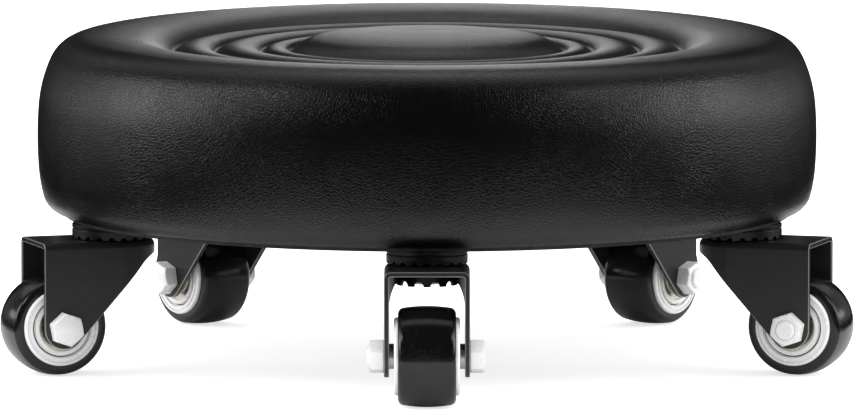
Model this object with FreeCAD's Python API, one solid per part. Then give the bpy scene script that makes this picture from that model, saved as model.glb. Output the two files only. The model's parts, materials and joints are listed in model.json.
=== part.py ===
"""A low rolling creeper seat: a round upholstered cushion on five swivel casters.

Millimetres. +Z is up, the floor is z = 0 and the origin lies on the floor under the seat's axis.
A caster is drawn in its own frame: its swivel axis is the Z axis, +X points away from the seat's
axis, which is the way the caster trails, and +Y is the way round that a left-hand turn would take.
"""
import FreeCAD, Part
import math
import os
from FreeCAD import Vector

# The five casters
caster_count = 5
first_caster_angle = -90.0

# Wheel: a black tread on a bright core, which takes its share of the room outside the bearing
wheel_diameter = 40.0
tread_width = 23.0
tread_crown = 0.7
tread_shoulder_radius = 2.6
core_share = 0.57
core_face_proud = 1.5
core_edge_radius = 1.1
rib_half_width = 5.0
rib_depth = 1.6
seat_clearance = 0.03

# Rings turned into each face of the core, placed between its bearing and its rim
face_groove_share = 0.37
face_groove_width = 1.1
face_groove_depth = 1.4
rim_groove_share = 0.70
rim_groove_width = 0.9
rim_groove_depth = 0.5

# Ball bearing: a thin ring bearing in each face of the core
bearing_outer_diameter = 19.0
bearing_width = 5.0
bearing_inset = 0.6
bearing_ring = 1.3
bearing_shield_depth = 0.5
bearing_shoulder = 1.5

# Axle: a bolt through a sleeve, with a nut
axle_diameter = 8.0
axle_hole_clearance = 0.05
sleeve_wall = 0.95
sleeve_running_clearance = 0.05
hex_across_flats = 12.0
hex_thickness = 5.8
hex_bevel = 0.8
hex_corner_tilt = 11.0
bolt_end_past_nut = 1.0
bolt_end_bevel = 0.7

# Fork: folded sheet steel, round towards the seat's axis and open outwards
wheel_side_gap = 2.0
fork_sheet = 2.0
fork_fold_radius = 2.8
caster_trail = 25.0
wheel_headroom = 12.3
foot_radius = 8.3
leg_rake = 48.0
fork_skirt = 5.6
skirt_blend_radius = 6.0
fork_eye_clearance = 0.7

# Swivel head: two ball races between stamped cups
head_height = 5.9
cup_setback = 0.8
cup_wall = 1.6
cup_running_gap = 0.3
cup_notch_height = 1.8
cup_notch_depth = 0.5
cup_notch_width = 0.7
serration_count = 20
serration_radius = 1.15
crown_side_gap = 2.0
crown_wall = 1.5
crown_gap = 2.8
tooth_count = 12
tooth_height = 2.0
tooth_gap_share = 0.56
upper_ball_diameter = 4.9
lower_ball_diameter = 3.4
ball_count = 8
race_inset = 2.0
ball_clearance = 0.08

# Stem: a headed pin that carries the head and screws into the seat's board
stem_diameter = 10.0
stem_clearance = 0.05
stem_collar = 1.3
stem_head_radius = 6.6
stem_head_height = 1.8
stem_tip_bevel = 0.8

# Seat base: the stems stand in from the board's edge, and the cover's hem reaches in past them
stem_edge_margin = 13.0
hem_past_stem = 9.0
board_thickness = 12.0
base_cover_lip = 1.0
base_cover_thickness = 1.4
tee_nut_flange_radius = 10.5
tee_nut_flange_thickness = 1.3
tee_nut_wall = 1.3
tee_nut_slot_count = 4
tee_nut_slot_width = 1.2
tee_nut_slot_length = 3.0
base_screw_count = 5
base_screw_circle_radius = 62.0
base_screw_diameter = 4.0
base_screw_length = 11.0
base_screw_head_radius = 4.0
base_screw_head_height = 2.0
screw_recess_width = 1.0
screw_recess_depth = 1.0

# Cushion: its outline, read from the middle outwards
seat_diameter = 315.0
side_padding = 11.5
cushion_height = 70.45
leather = 1.2
foam_gap = 0.1
lower_corner_reach = 10.0
lower_corner_rise = 17.6
wall_bulge = 0.45
upper_corner_reach = 19.2
upper_corner_drop = 28.3
dome_rise = 2.95
dome_edge_angle = 39.0
inner_ring_width = 11.1
middle_ring_width = 18.9
outer_ring_width = 17.1
groove_depth = 7.25
inner_ring_drop = 4.55
ring_drop = 3.95
rim_width = 35.3
rim_fall_angle = 27.0
staple_count = 30
staple_width = 10.0
staple_wire = 0.8
staple_leg = 6.0
staple_inset = 11.0

# One overrun serves every cut, and one tolerance finds the edges to round
overrun = 1.0
edge_tolerance = 0.03

# Sizes that follow from the ones above
axle_height = wheel_diameter / 2
tread_half = tread_width / 2
core_half = tread_half + core_face_proud
sleeve_radius = axle_diameter / 2 + axle_hole_clearance + sleeve_wall
bearing_bore = sleeve_radius + sleeve_running_clearance
bearing_radius = bearing_outer_diameter / 2
core_radius = bearing_radius + (wheel_diameter / 2 - bearing_radius) * core_share
bearing_outer_face = core_half - bearing_inset
face_groove_radius = bearing_radius + (core_radius - bearing_radius) * face_groove_share
rim_groove_radius = bearing_radius + (core_radius - bearing_radius) * rim_groove_share
fork_inner_half = core_half + wheel_side_gap
fork_half = fork_inner_half + fork_sheet
cup_radius = fork_half - cup_setback
crown_radius = fork_inner_half - crown_side_gap
race_radius = crown_radius - race_inset
fork_under = wheel_diameter + wheel_headroom
fork_top = fork_under + fork_sheet
fork_reach = caster_trail + foot_radius
fork_eye_radius = stem_diameter / 2 + stem_collar + fork_eye_clearance
base_under = fork_top + head_height
cup_under = base_under - cup_wall
crown_floor_top = fork_under - crown_gap
crown_floor_under = crown_floor_top - crown_wall
crown_foot = crown_floor_under - tooth_height
wrap_under = base_under + base_cover_thickness
board_under = wrap_under + leather
board_top = board_under + board_thickness
seat_radius = seat_diameter / 2
board_radius = seat_radius - side_padding
base_cover_radius = board_radius + base_cover_lip
swivel_circle_radius = board_radius - stem_edge_margin
hem_inner_radius = swivel_circle_radius - hem_past_stem
wall_radius = seat_radius - wall_bulge
shoulder_radius = wall_radius - upper_corner_reach
outer_ring_radius = shoulder_radius - rim_width
middle_ring_radius = outer_ring_radius - outer_ring_width
inner_ring_radius = middle_ring_radius - middle_ring_width
dome_radius = inner_ring_radius - inner_ring_width
crest_height = wrap_under + cushion_height
groove_height = crest_height - groove_depth


def caster_angles():
    """The compass angle of each caster about the seat's axis."""
    return [first_caster_angle + 360.0 * index / caster_count for index in range(caster_count)]


def on_circle(radius, angle, height):
    """A point at a radius, an angle in degrees and a height."""
    turn = math.radians(angle)
    return Vector(radius * math.cos(turn), radius * math.sin(turn), height)


def turned(shape, angle):
    """A copy of a shape, turned about the upright axis through the origin."""
    copy = shape.copy()
    copy.rotate(Vector(0, 0, 0), Vector(0, 0, 1), angle)
    return copy


def placed(shape, caster_angle):
    """A caster piece, moved from the caster's own frame to its place under the seat."""
    copy = turned(shape, caster_angle)
    copy.translate(on_circle(swivel_circle_radius, caster_angle, 0))
    return copy


def rod(radius, start, end, centre=Vector(0, 0, 0), axis=Vector(0, 0, 1)):
    """A round bar along an axis through a centre, from one distance to another."""
    return Part.makeCylinder(radius, end - start, centre + axis * start, axis)


def lathe(points, axis=Vector(0, 0, 1), centre=Vector(0, 0, 0)):
    """A turned piece from its half section, given as (radius, distance along the axis)."""
    side = Vector(1, 0, 0)
    corners = [centre + side * radius + axis * along for radius, along in points]
    return Part.Face(Part.makePolygon(corners + corners[:1])).revolve(centre, axis, 360)


def ring_cut(radius, width, depth, face, axis, centre, outwards):
    """A square groove, as a cutter for a flat turned face."""
    inner = radius - width / 2
    outer = radius + width / 2
    bottom = face - outwards * depth
    top = face + outwards * overrun
    return lathe([(inner, bottom), (outer, bottom), (outer, top), (inner, top)], axis, centre)


def torus_track(height, ball_radius):
    """The round track that a ring of balls presses into a plate, with its running clearance."""
    return Part.makeTorus(race_radius, ball_radius + ball_clearance, Vector(0, 0, height))


def repeated(shape, count, offset=0):
    """Copies of one cutter or piece, evenly spaced about the upright axis."""
    return Part.makeCompound([turned(shape, offset + 360.0 * index / count) for index in range(count)])


def hexagon(flats, start, end):
    """A hexagonal prism about the axle, one corner tipped outwards, its outer face bevelled round."""
    corner = flats / math.sqrt(3)
    away = 1 if end > start else -1
    corners = []
    for index in range(7):
        turn = math.radians(90.0 - hex_corner_tilt + 60.0 * index)
        corners.append(Vector(corner * math.cos(turn), start, corner * math.sin(turn)))
    prism = Part.Face(Part.makePolygon(corners)).extrude(Vector(0, end - start, 0))
    axis = Vector(0, away, 0)
    length = abs(end - start)
    bevel_cone = lathe(
        [(0, 0), (corner + overrun, 0), (corner + overrun, length - hex_bevel),
         (corner, length - hex_bevel), (flats / 2 - hex_bevel / 2, length), (0, length)],
        axis, Vector(0, start, 0))
    prism = prism.common(bevel_cone)
    prism.translate(Vector(caster_trail, 0, axle_height))
    return prism


wheel_centre = Vector(caster_trail, 0, axle_height)
along_axle = Vector(0, 1, 0)


def make_tyre():
    """The black tread: crowned, with round shoulders and a rib that keys it on the core."""
    wheel_radius = wheel_diameter / 2
    edge_radius = wheel_radius - tread_crown
    shoulder = tread_shoulder_radius
    bore = core_radius + seat_clearance
    rib = bore - rib_depth
    lift = shoulder * (1 - math.sqrt(0.5))

    def at(radius, along):
        return wheel_centre + Vector(radius, along, 0)

    crown = Part.Arc(at(edge_radius, -tread_half + shoulder), at(wheel_radius, 0),
                     at(edge_radius, tread_half - shoulder))
    right = Part.Arc(at(edge_radius, tread_half - shoulder), at(edge_radius - lift, tread_half - lift),
                     at(edge_radius - shoulder, tread_half))
    left = Part.Arc(at(edge_radius - shoulder, -tread_half), at(edge_radius - lift, -tread_half + lift),
                    at(edge_radius, -tread_half + shoulder))
    inside = Part.makePolygon([
        at(edge_radius - shoulder, tread_half), at(bore, tread_half), at(bore, rib_half_width),
        at(rib, rib_half_width), at(rib, -rib_half_width), at(bore, -rib_half_width),
        at(bore, -tread_half), at(edge_radius - shoulder, -tread_half)])
    outline = Part.Wire([crown.toShape(), right.toShape()] + inside.Edges + [left.toShape()])
    return Part.Face(outline).revolve(wheel_centre, along_axle, 360)


def make_wheel_core():
    """The bright core: rounded rims, turned rings in each face and a seat for each bearing."""
    seat = bearing_radius + seat_clearance
    shoulder_face = bearing_outer_face - bearing_width
    bore = bearing_radius - bearing_shoulder
    waist = core_radius - rib_depth
    key = rib_half_width + seat_clearance
    core = lathe([
        (bore, -shoulder_face), (seat, -shoulder_face), (seat, -core_half), (core_radius, -core_half),
        (core_radius, -key), (waist, -key), (waist, key), (core_radius, key), (core_radius, core_half),
        (seat, core_half), (seat, shoulder_face), (bore, shoulder_face)], along_axle, wheel_centre)
    rims = [edge for edge in core.Edges
            if edge.BoundBox.YLength < edge_tolerance
            and abs(abs(edge.BoundBox.Center.y) - core_half) < edge_tolerance
            and edge.BoundBox.ZLength > 2 * core_radius - edge_tolerance]
    core = core.makeFillet(core_edge_radius, rims)
    for outwards in (-1, 1):
        face = outwards * core_half
        core = core.cut(ring_cut(face_groove_radius, face_groove_width, face_groove_depth, face,
                                 along_axle, wheel_centre, outwards))
        core = core.cut(ring_cut(rim_groove_radius, rim_groove_width, rim_groove_depth, face,
                                 along_axle, wheel_centre, outwards))
    return core


def make_bearing(side):
    """One ball bearing, closed by shields that sit back from its two rings."""
    outer = side * bearing_outer_face
    inner = outer - side * bearing_width
    near = outer - side * bearing_shield_depth
    far = inner + side * bearing_shield_depth
    inner_ring = bearing_bore + bearing_ring
    outer_ring = bearing_radius - bearing_ring
    return lathe([
        (bearing_bore, inner), (inner_ring, inner), (inner_ring, far), (outer_ring, far),
        (outer_ring, inner),
        (bearing_radius, inner), (bearing_radius, outer), (outer_ring, outer), (outer_ring, near),
        (inner_ring, near), (inner_ring, outer), (bearing_bore, outer)], along_axle, wheel_centre)


def make_axle_sleeve():
    """The tube that the bearings run on, held between the fork's legs by the bolt."""
    bore = axle_diameter / 2 + axle_hole_clearance
    return lathe([
        (bore, -fork_inner_half), (sleeve_radius, -fork_inner_half),
        (sleeve_radius, fork_inner_half), (bore, fork_inner_half)], along_axle, wheel_centre)


def make_axle_bolt():
    """The axle bolt: a hexagonal head on the left-hand leg and a plain shank through to the nut."""
    shank_end = -(fork_half + hex_thickness + bolt_end_past_nut)
    radius = axle_diameter / 2
    shank = lathe([
        (0, shank_end), (radius - bolt_end_bevel, shank_end), (radius, shank_end + bolt_end_bevel),
        (radius, fork_half), (0, fork_half)], along_axle, wheel_centre)
    return shank.fuse(hexagon(hex_across_flats, fork_half, fork_half + hex_thickness)).removeSplitter()


def make_axle_nut():
    """The nut on the right-hand leg."""
    nut = hexagon(hex_across_flats, -fork_half, -fork_half - hex_thickness)
    bore = axle_diameter / 2 + axle_hole_clearance
    return nut.cut(rod(bore, -fork_half - hex_thickness - overrun, -fork_half + overrun,
                       wheel_centre, along_axle))


def stadium(half_width, start, bottom, top):
    """An upright block, round at the swivel axis and straight from there to past the open end."""
    reach = fork_reach + overrun
    left = Vector(0, half_width, bottom)
    right = Vector(0, -half_width, bottom)
    wire = Part.Wire([
        Part.Arc(left, Vector(start, 0, bottom), right).toShape(),
        Part.makeLine(right, Vector(reach, -half_width, bottom)),
        Part.makeLine(Vector(reach, -half_width, bottom), Vector(reach, half_width, bottom)),
        Part.makeLine(Vector(reach, half_width, bottom), left)])
    return Part.Face(wire).extrude(Vector(0, 0, top - bottom))


def top_rounded(block, top, radius):
    """The block with its top edge rounded, apart from the edge at its open end."""
    edges = [edge for edge in block.Edges
             if edge.BoundBox.ZMin > top - edge_tolerance and edge.BoundBox.XMin < fork_reach]
    return block.makeFillet(radius, edges)


def on_foot(first, second):
    """The point of a leg's round foot midway between two others."""
    return wheel_centre + (first + second - wheel_centre * 2).normalize() * foot_radius


def make_fork():
    """The folded fork: a stadium-shaped hood with its legs cut to a slope and a round foot."""
    bottom = axle_height - foot_radius - overrun
    hood = top_rounded(stadium(fork_half, -fork_half, bottom, fork_top), fork_top, fork_fold_radius)
    hollow = top_rounded(stadium(fork_inner_half, -fork_inner_half, bottom - overrun, fork_under),
                         fork_under, fork_fold_radius - fork_sheet)
    hood = hood.cut(hollow)

    # The side view of the legs: straight outer edge, round foot, raked inner edge, low skirt
    rake = math.radians(leg_rake)
    tangent = Vector(-math.sin(rake), 0, -math.cos(rake))
    foot_start = wheel_centre + Vector(foot_radius, 0, 0)
    foot_lowest = wheel_centre + Vector(0, 0, -foot_radius)
    foot_end = wheel_centre + tangent * foot_radius
    skirt_height = fork_top - fork_skirt
    rise = skirt_height - foot_end.z
    heel = Vector(foot_end.x - rise * math.cos(rake) / math.sin(rake), 0, skirt_height)
    blend = skirt_blend_radius
    run_in = (heel - foot_end).normalize() * blend
    before = heel - run_in
    after = heel - Vector(blend, 0, 0)
    bend = (heel + (before + after) / 2) / 2
    far = min(-fork_half, after.x) - overrun
    above = fork_top + overrun
    side = Vector(0, -fork_half - overrun, 0)
    edges = [
        Part.Arc(foot_start, on_foot(foot_start, foot_lowest), foot_lowest).toShape(),
        Part.Arc(foot_lowest, on_foot(foot_lowest, foot_end), foot_end).toShape(),
        Part.makeLine(foot_end, before),
        Part.Arc(before, bend, after).toShape(),
        Part.makeLine(after, Vector(far, 0, skirt_height)),
        Part.makeLine(Vector(far, 0, skirt_height), Vector(far, 0, above)),
        Part.makeLine(Vector(far, 0, above), Vector(fork_reach, 0, above)),
        Part.makeLine(Vector(fork_reach, 0, above), foot_start)]
    outline = Part.Face(Part.Wire(edges))
    outline.translate(side)
    profile = outline.extrude(side * -2)
    fork = hood.common(profile)

    eye = rod(fork_eye_radius, fork_under - overrun, fork_top + overrun)
    bolt_hole = rod(axle_diameter / 2 + axle_hole_clearance, -fork_half - overrun, fork_half + overrun,
                    wheel_centre, along_axle)
    fork = fork.cut(eye).cut(bolt_hole)
    fork = fork.cut(torus_track(upper_ball_height(), upper_ball_diameter / 2))
    return fork.cut(torus_track(lower_ball_height(), lower_ball_diameter / 2))


def upper_ball_height():
    """The height of the upper balls' centres, midway between the fork and the cup."""
    return (fork_top + cup_under) / 2


def lower_ball_height():
    """The height of the lower balls' centres, midway between the crown's floor and the fork."""
    return (crown_floor_top + fork_under) / 2


def make_upper_cup():
    """The stamped cup over the upper race: notched round its wall and serrated round its rim."""
    foot = fork_top + cup_running_gap
    wall = cup_radius - cup_wall
    notch_top = base_under - cup_notch_height + cup_notch_width / 2
    notch_middle = base_under - cup_notch_height
    notch_bottom = base_under - cup_notch_height - cup_notch_width / 2
    hole = stem_diameter / 2 + stem_clearance
    cup = lathe([
        (hole, cup_under), (wall, cup_under), (wall, foot), (cup_radius, foot), (cup_radius, notch_bottom),
        (cup_radius - cup_notch_depth, notch_middle), (cup_radius, notch_top), (cup_radius, base_under),
        (hole, base_under)])
    scallop = rod(serration_radius, wall - overrun, cup_radius + overrun,
                  Vector(0, 0, foot), Vector(1, 0, 0))
    cup = cup.cut(repeated(scallop, serration_count))
    return cup.cut(torus_track(upper_ball_height(), upper_ball_diameter / 2))


def make_lower_cup():
    """The crown-shaped cup under the lower race, with a row of square teeth hanging from its rim."""
    top = fork_under - cup_running_gap
    wall = crown_radius - crown_wall
    hole = stem_diameter / 2 + stem_clearance
    cup = lathe([
        (hole, crown_floor_under), (wall, crown_floor_under), (wall, crown_foot),
        (crown_radius, crown_foot), (crown_radius, top), (wall, top), (wall, crown_floor_top),
        (hole, crown_floor_top)])
    gap_half = math.pi * crown_radius / tooth_count * tooth_gap_share
    arch = rod(gap_half, wall - overrun, crown_radius + overrun,
               Vector(0, 0, crown_floor_under - gap_half), Vector(1, 0, 0))
    slot = Part.makeBox(crown_wall + overrun * 2, gap_half * 2, tooth_height + overrun - gap_half,
                        Vector(wall - overrun, -gap_half, crown_foot - overrun))
    cup = cup.cut(repeated(arch.fuse(slot), tooth_count, 180.0 / tooth_count))
    return cup.cut(torus_track(lower_ball_height(), lower_ball_diameter / 2))


def make_swivel_balls():
    """The balls of both races, each its own solid, held apart in their tracks."""
    balls = []
    for diameter, height in (
            (upper_ball_diameter, upper_ball_height()),
            (lower_ball_diameter, lower_ball_height())):
        for index in range(ball_count):
            centre = on_circle(race_radius, 360.0 * index / ball_count, height)
            balls.append(Part.makeSphere(diameter / 2, centre))
    return Part.makeCompound(balls)


def make_stem():
    """The headed stem: it holds both cups a set distance apart and screws into the tee nut."""
    radius = stem_diameter / 2
    collar = radius + stem_collar
    tip = board_top + tee_nut_flange_thickness
    head = crown_floor_under - stem_head_height
    edge = stem_tip_bevel
    return lathe([
        (0, head), (stem_head_radius - edge, head), (stem_head_radius, head + edge),
        (stem_head_radius, crown_floor_under), (radius, crown_floor_under), (radius, crown_floor_top),
        (collar, crown_floor_top), (collar, cup_under), (radius, cup_under), (radius, tip - edge),
        (radius - edge, tip), (0, tip)])


def make_tee_nut():
    """The tee nut let into the top of the board, with slots pressed through its flange."""
    bore = stem_diameter / 2 + stem_clearance
    barrel = bore + tee_nut_wall
    top = board_top + tee_nut_flange_thickness
    nut = lathe([
        (bore, board_under + leather), (barrel, board_under + leather), (barrel, board_top),
        (tee_nut_flange_radius, board_top), (tee_nut_flange_radius, top), (bore, top)])
    slot = Part.makeBox(tee_nut_slot_length, tee_nut_slot_width, tee_nut_flange_thickness + overrun * 2,
                        Vector(tee_nut_flange_radius - tee_nut_slot_length, -tee_nut_slot_width / 2,
                               board_top))
    return nut.cut(repeated(slot, tee_nut_slot_count))


def make_base_screw():
    """A pan-head screw that holds the base cover up against the board."""
    radius = base_screw_diameter / 2
    dome = base_screw_head_height
    head_foot = base_under - dome
    tip = base_under + base_screw_length
    edge = dome / 2
    screw = lathe([
        (0, head_foot), (base_screw_head_radius - edge, head_foot),
        (base_screw_head_radius, head_foot + edge), (base_screw_head_radius, base_under),
        (radius, base_under), (radius, tip - radius), (0, tip)])
    reach = base_screw_head_radius
    for across in (0, 90):
        arm = Part.makeBox(reach, screw_recess_width, screw_recess_depth + overrun,
                           Vector(-reach / 2, -screw_recess_width / 2, head_foot - overrun))
        screw = screw.cut(turned(arm, across))
    return screw


def base_screw_places():
    """The angle of each base screw, midway between two casters."""
    start = first_caster_angle + 180.0 / base_screw_count
    return [start + 360.0 * index / base_screw_count for index in range(base_screw_count)]


def make_base_screws():
    """All the base screws, one solid each."""
    screw = make_base_screw()
    screws = []
    for angle in base_screw_places():
        copy = screw.copy()
        copy.translate(on_circle(base_screw_circle_radius, angle, 0))
        screws.append(copy)
    return Part.makeCompound(screws)


def stem_holes(radius, bottom, top):
    """The holes for the five stems, as one cutter."""
    return [rod(radius, bottom, top, on_circle(swivel_circle_radius, angle, 0))
            for angle in caster_angles()]


def screw_holes(bottom, top):
    """The holes for the base screws."""
    radius = base_screw_diameter / 2 + seat_clearance
    return [rod(radius, bottom, top, on_circle(base_screw_circle_radius, angle, 0))
            for angle in base_screw_places()]


def make_board():
    """The plywood board, bored for the tee nuts' barrels, the stems and the screws."""
    board = rod(board_radius, board_under, board_top)
    barrel = stem_diameter / 2 + stem_clearance + tee_nut_wall + seat_clearance
    cutters = stem_holes(barrel, board_under - overrun, board_top + overrun)
    return board.cut(cutters + screw_holes(board_under - overrun, base_under + base_screw_length + overrun))


def make_base_cover():
    """The thin disc that closes the seat's underside and shows as a dark line round its edge."""
    cover = rod(base_cover_radius, base_under, wrap_under)
    cutters = stem_holes(stem_diameter / 2 + stem_clearance, base_under - overrun, wrap_under + overrun)
    return cover.cut(cutters + screw_holes(base_under - overrun, wrap_under + overrun))


def arc_edge(start, heading, end):
    """A single arc that leaves a point in a given direction and passes through another point."""
    chord = end - start
    turn = math.atan2(heading.cross(chord).z, heading.dot(chord))
    bulge = Vector(chord.y, -chord.x, 0) * math.tan(turn / 2) / 2
    return [start, (start + end) / 2 + bulge, end]


def biarc_edges(start, heading, end, final):
    """Two arcs that join smoothly, leave in one direction and arrive in another."""
    span = end - start
    total = heading + final
    spare = 2 * (1 - heading.dot(final))
    reach = (math.sqrt(span.dot(total) ** 2 + spare * span.dot(span)) - span.dot(total)) / spare
    joint = (start + end + (heading - final) * reach) / 2
    first = arc_edge(start, heading, joint)
    second = arc_edge(end, -final, joint)
    return [first, [joint, second[1], end]]


def facing(angle):
    """A unit direction in the half section, in degrees from straight outwards."""
    turn = math.radians(angle)
    return Vector(math.cos(turn), math.sin(turn), 0)


def cushion_section(inset):
    """The cushion's half section as arcs, from the middle of its dome to the edge of its base.

    The section lies in X, outwards, and Y, upwards. The inset draws every face in towards the
    filling, which gives the leather its inner face and the foam its outer one.
    """
    crest = crest_height - inset
    groove = groove_height - inset
    wall = wall_radius - inset
    upper_end = Vector(wall, crest_height - upper_corner_drop, 0)
    lower_end = Vector(wall, wrap_under + lower_corner_rise, 0)
    lower_start = Vector(seat_radius - lower_corner_reach, wrap_under + inset, 0)
    lean = math.degrees(math.atan(4 * wall_bulge / (upper_end.y - lower_end.y)))

    arcs = biarc_edges(Vector(0, crest + dome_rise, 0), facing(0), Vector(dome_radius, groove, 0),
                       facing(-dome_edge_angle))
    for start, end, drop in (
            (dome_radius, inner_ring_radius, inner_ring_drop),
            (inner_ring_radius, middle_ring_radius, ring_drop),
            (middle_ring_radius, outer_ring_radius, ring_drop)):
        ring_top = Vector((start + end) / 2, crest - drop, 0)
        arcs.append([Vector(start, groove, 0), ring_top, Vector(end, groove, 0)])
    shoulder = Vector(shoulder_radius, crest, 0)
    arcs += biarc_edges(Vector(outer_ring_radius, groove, 0), facing(rim_fall_angle), shoulder, facing(0))
    arcs += biarc_edges(shoulder, facing(0), upper_end, facing(lean - 90))
    arcs.append([upper_end, Vector(wall + wall_bulge, (upper_end.y + lower_end.y) / 2, 0), lower_end])
    arcs += biarc_edges(lower_end, facing(-90 - lean), lower_start, facing(180))
    return arcs


def cushion_solid(inset):
    """The cushion's outline turned into a solid."""
    def upright(point):
        return Vector(point.x, 0, point.y)

    arcs = cushion_section(inset)
    edges = [Part.Arc(*[upright(point) for point in arc]).toShape() for arc in arcs]
    first = upright(arcs[0][0])
    last = upright(arcs[-1][-1])
    foot = Vector(0, 0, last.z)
    edges += [Part.makeLine(last, foot), Part.makeLine(foot, first)]
    return Part.Face(Part.Wire(edges)).revolve(Vector(0, 0, 0), Vector(0, 0, 1), 360)


def make_seat_cover():
    """The leather cover: a shell over the foam, turned in under the board and pierced for the stems."""
    shell = cushion_solid(0).cut(cushion_solid(leather))
    mouth = rod(hem_inner_radius, wrap_under - overrun, board_under + overrun)
    holes = stem_holes(stem_diameter / 2 + stem_clearance, wrap_under - overrun, board_under + overrun)
    return shell.cut([mouth] + holes)


def make_foam():
    """The foam block inside the leather, let down round the board and over the tee nuts."""
    foam = cushion_solid(leather + foam_gap)
    board_space = rod(board_radius + foam_gap, wrap_under - overrun, board_top)
    pockets = stem_holes(tee_nut_flange_radius + foam_gap, board_top - overrun,
                         board_top + tee_nut_flange_thickness + foam_gap)
    return foam.cut([board_space] + pockets)


def make_staples():
    """The staples that hold the turned-in leather to the board: a crown and two legs each."""
    wire = staple_wire
    half = staple_width / 2
    crown = Part.makeBox(wire, staple_width, wire, Vector(-wire / 2, -half, wrap_under))
    leg = Part.makeBox(wire, wire, staple_leg, Vector(-wire / 2, -half, wrap_under))
    other = leg.copy()
    other.translate(Vector(0, staple_width - wire, 0))
    staple = crown.fuse([leg, other]).removeSplitter()
    staple.translate(Vector(board_radius - staple_inset, 0, 0))
    half_step = 180.0 / staple_count
    return repeated(staple, staple_count, first_caster_angle + half_step)


def main():
    """Builds every piece and writes one file for each."""
    os.makedirs("parts", exist_ok=True)
    single = {
        "seat_cover": make_seat_cover(),
        "seat_foam": make_foam(),
        "seat_board": make_board(),
        "base_cover": make_base_cover(),
        "cover_staples": make_staples(),
        "base_screws": make_base_screws(),
        "caster_stems": Part.makeCompound([placed(make_stem(), angle) for angle in caster_angles()]),
        "tee_nuts": Part.makeCompound([placed(make_tee_nut(), angle) for angle in caster_angles()]),
    }
    caster = {
        "upper_cup": make_upper_cup(),
        "lower_cup": make_lower_cup(),
        "fork": make_fork(),
        "swivel_balls": make_swivel_balls(),
        "axle_bolt": make_axle_bolt(),
        "axle_nut": make_axle_nut(),
        "axle_sleeve": make_axle_sleeve(),
        "tyre": make_tyre(),
        "wheel_core": make_wheel_core(),
        "bearings": Part.makeCompound([make_bearing(-1), make_bearing(1)]),
    }
    for index, angle in enumerate(caster_angles()):
        for name, shape in caster.items():
            single[name + "_" + str(index + 1)] = placed(shape, angle)
    for name, shape in single.items():
        shape.exportStep("parts/" + name + ".step")
        state = "valid" if shape.isValid() else "INVALID"
        print(name, len(shape.Solids), "solids", round(shape.Volume), "mm3", state)


main()
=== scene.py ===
# %% [markdown]
# # A rolling creeper seat
#
# The seat is one thick round cushion in black leatherette, with rings and a raised centre worked
# into its top, on five swivel casters. The casters are already built as real pieces in the frame,
# so most of this lesson is about two things: sewing a soft cushion that looks stuffed, and giving
# metal, tyre and leatherette the surface that each one really has.

# %% Load the frame
import json
import math

import bmesh
import bpy
import numpy as np
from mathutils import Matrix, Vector
from mathutils.kdtree import KDTree


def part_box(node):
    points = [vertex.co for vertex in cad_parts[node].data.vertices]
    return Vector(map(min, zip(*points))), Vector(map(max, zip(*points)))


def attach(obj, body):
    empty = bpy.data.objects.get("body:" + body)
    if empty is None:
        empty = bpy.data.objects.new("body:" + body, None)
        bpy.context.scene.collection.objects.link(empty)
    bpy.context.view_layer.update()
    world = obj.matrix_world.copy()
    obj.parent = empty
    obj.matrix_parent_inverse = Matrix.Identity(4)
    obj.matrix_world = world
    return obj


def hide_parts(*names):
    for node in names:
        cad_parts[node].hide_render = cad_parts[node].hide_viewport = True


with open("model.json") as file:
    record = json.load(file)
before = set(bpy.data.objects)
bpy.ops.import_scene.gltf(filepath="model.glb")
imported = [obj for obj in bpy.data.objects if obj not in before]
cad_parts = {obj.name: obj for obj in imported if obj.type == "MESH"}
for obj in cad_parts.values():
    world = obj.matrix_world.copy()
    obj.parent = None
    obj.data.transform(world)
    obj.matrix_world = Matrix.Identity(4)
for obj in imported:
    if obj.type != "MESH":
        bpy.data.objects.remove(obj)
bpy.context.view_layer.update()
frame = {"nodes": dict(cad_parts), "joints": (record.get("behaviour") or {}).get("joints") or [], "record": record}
MM = 0.001
CASTERS = [1, 2, 3, 4, 5]
JOINTS = {joint["name"]: joint for joint in frame["joints"]}

# %% [markdown]
# ## The camera
#
# A product photograph like this is taken from far off with a long lens, which keeps the front
# wheel from looking larger than the back ones. Six metres away and six degrees above level is
# where the five wheels line up with the picture.

# %% Camera
PICTURE_WIDTH_PX = 854
SENSOR_MM = 36.0
FOCAL_PX = 15022.4
CAMERA_DISTANCE = 6.0437
CAMERA_HEIGHT = 0.72034
AIM_HEIGHT = 0.0629
VIEW_END = 40


def add_camera():
    """A long lens, aimed at a point just over the wheels."""
    data = bpy.data.cameras.new("view_camera")
    data.sensor_width = SENSOR_MM
    data.lens = FOCAL_PX * SENSOR_MM / PICTURE_WIDTH_PX
    data.clip_end = VIEW_END
    camera = bpy.data.objects.new("view_camera", data)
    camera.location = (0, -CAMERA_DISTANCE, CAMERA_HEIGHT)
    aim = Vector((0, 0, AIM_HEIGHT)) - camera.location
    camera.rotation_euler = aim.to_track_quat("-Z", "Y").to_euler()
    bpy.context.scene.collection.objects.link(camera)
    bpy.context.scene.camera = camera
    return camera


camera = add_camera()
print("lens", round(camera.data.lens, 1), "mm")

# %% [markdown]
# ## Building materials in code
#
# A material is a tree of nodes. Writing one link at a time is slow to read, so one short helper
# adds a node, names its settings and joins whatever is handed to it as a socket.

# %% Node helpers


def add(tree, kind, settings=None, **inputs):
    """Adds a node; inputs are values or sockets, named as on the node with _ for a space.

    An input called i and a number is counted instead, for the nodes whose inputs share a name.
    """
    node = tree.nodes.new(kind)
    for name, value in (settings or {}).items():
        setattr(node, name, value)
    for name, value in inputs.items():
        numbered = name[0] == "i" and name[1:].isdigit()
        socket = node.inputs[int(name[1:]) if numbered else name.replace("_", " ")]
        if isinstance(value, bpy.types.NodeSocket):
            tree.links.new(value, socket)
        else:
            socket.default_value = value
    return node


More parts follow.
